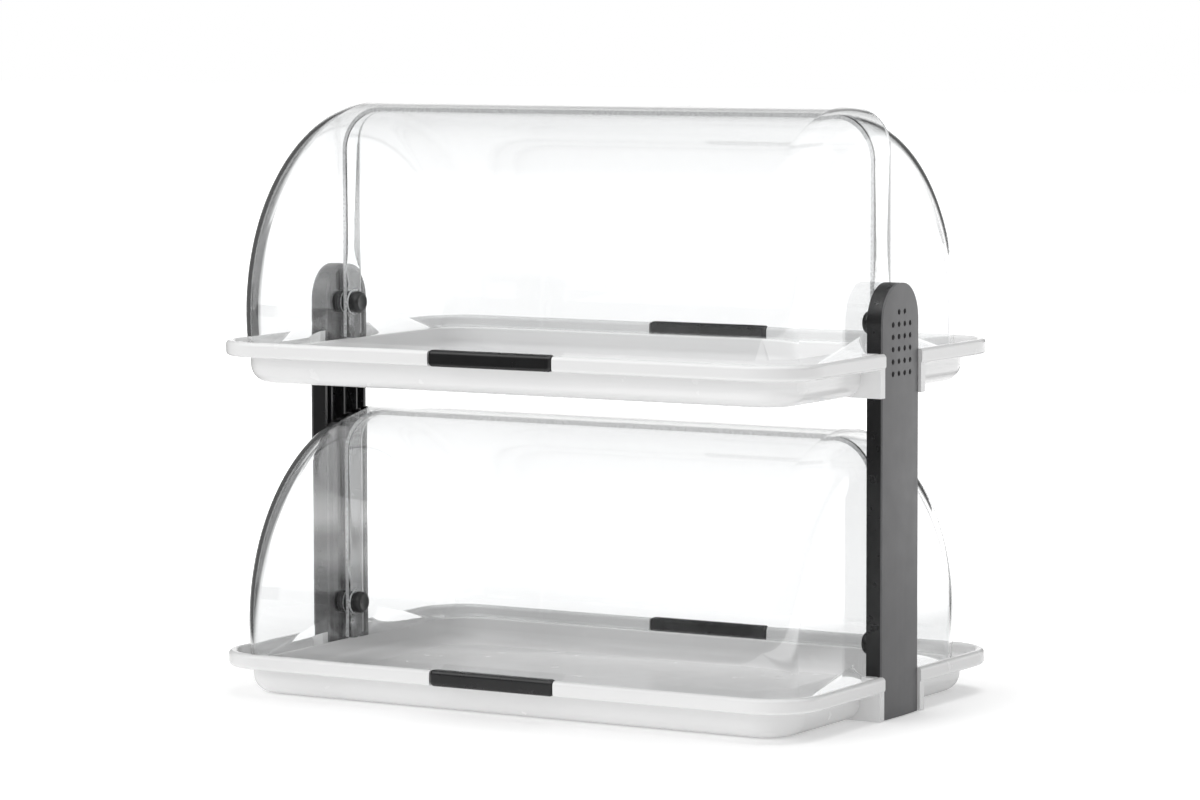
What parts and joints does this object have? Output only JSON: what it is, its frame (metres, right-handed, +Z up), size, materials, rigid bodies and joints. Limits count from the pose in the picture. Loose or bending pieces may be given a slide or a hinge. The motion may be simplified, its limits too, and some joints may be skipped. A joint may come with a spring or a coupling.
{
  "type": "countertop bread display bin",
  "caption": "Tiered countertop display bin for bread: white trays between ribbed uprights, each under clear roll-top covers that swing open from the front and from the rear.",
  "frame": {"origin": "middle of the bin on the surface it stands on", "axes": "+X along the long side to the right seen from the front, +Y to the rear, +Z up"},
  "size_m": [0.44, 0.29, 0.3869],
  "materials": {
    "tray_white": "white moulded tray plastic with a soft gloss",
    "black_plastic": "black moulded plastic with a satin surface",
    "face_grey": "dark grey satin face plate",
    "clear_cover": "clear polished polycarbonate",
    "screw_steel": "zinc plated steel"
  },
  "bodies": {
    "frame": {"lower_tray": "tray_white", "upper_tray": "tray_white", "lower_front_grip": "black_plastic", "lower_rear_grip": "black_plastic", "upper_front_grip": "black_plastic", "upper_rear_grip": "black_plastic", "left_upright": "black_plastic", "right_upright": "black_plastic", "left_face_plate": "face_grey", "right_face_plate": "face_grey", "lower_left_pivot": "black_plastic", "lower_right_pivot": "black_plastic", "upper_left_pivot": "black_plastic", "upper_right_pivot": "black_plastic", "lower_left_collar": "black_plastic", "lower_right_collar": "black_plastic", "upper_left_collar": "black_plastic", "upper_right_collar": "black_plastic", "tray_screws": "screw_steel"},
    "lower_front": {"lower_front_cover": "clear_cover"},
    "lower_rear": {"lower_rear_cover": "clear_cover"},
    "upper_front": {"upper_front_cover": "clear_cover"},
    "upper_rear": {"upper_rear_cover": "clear_cover"}
  },
  "joints": [
    {"name": "lower_front_hinge", "type": "hinge", "parent": "frame", "child": "lower_front", "pos_m": [0, 0, 0.0454], "axis": [1, 0, 0], "range_deg": [-95, 0]},
    {"name": "lower_rear_hinge", "type": "hinge", "parent": "frame", "child": "lower_rear", "pos_m": [0, 0, 0.0454], "axis": [1, 0, 0], "range_deg": [0, 95]},
    {"name": "upper_front_hinge", "type": "hinge", "parent": "frame", "child": "upper_front", "pos_m": [0, 0, 0.2504], "axis": [1, 0, 0], "range_deg": [-95, 0]},
    {"name": "upper_rear_hinge", "type": "hinge", "parent": "frame", "child": "upper_rear", "pos_m": [0, 0, 0.2504], "axis": [1, 0, 0], "range_deg": [0, 95]}
  ]
}
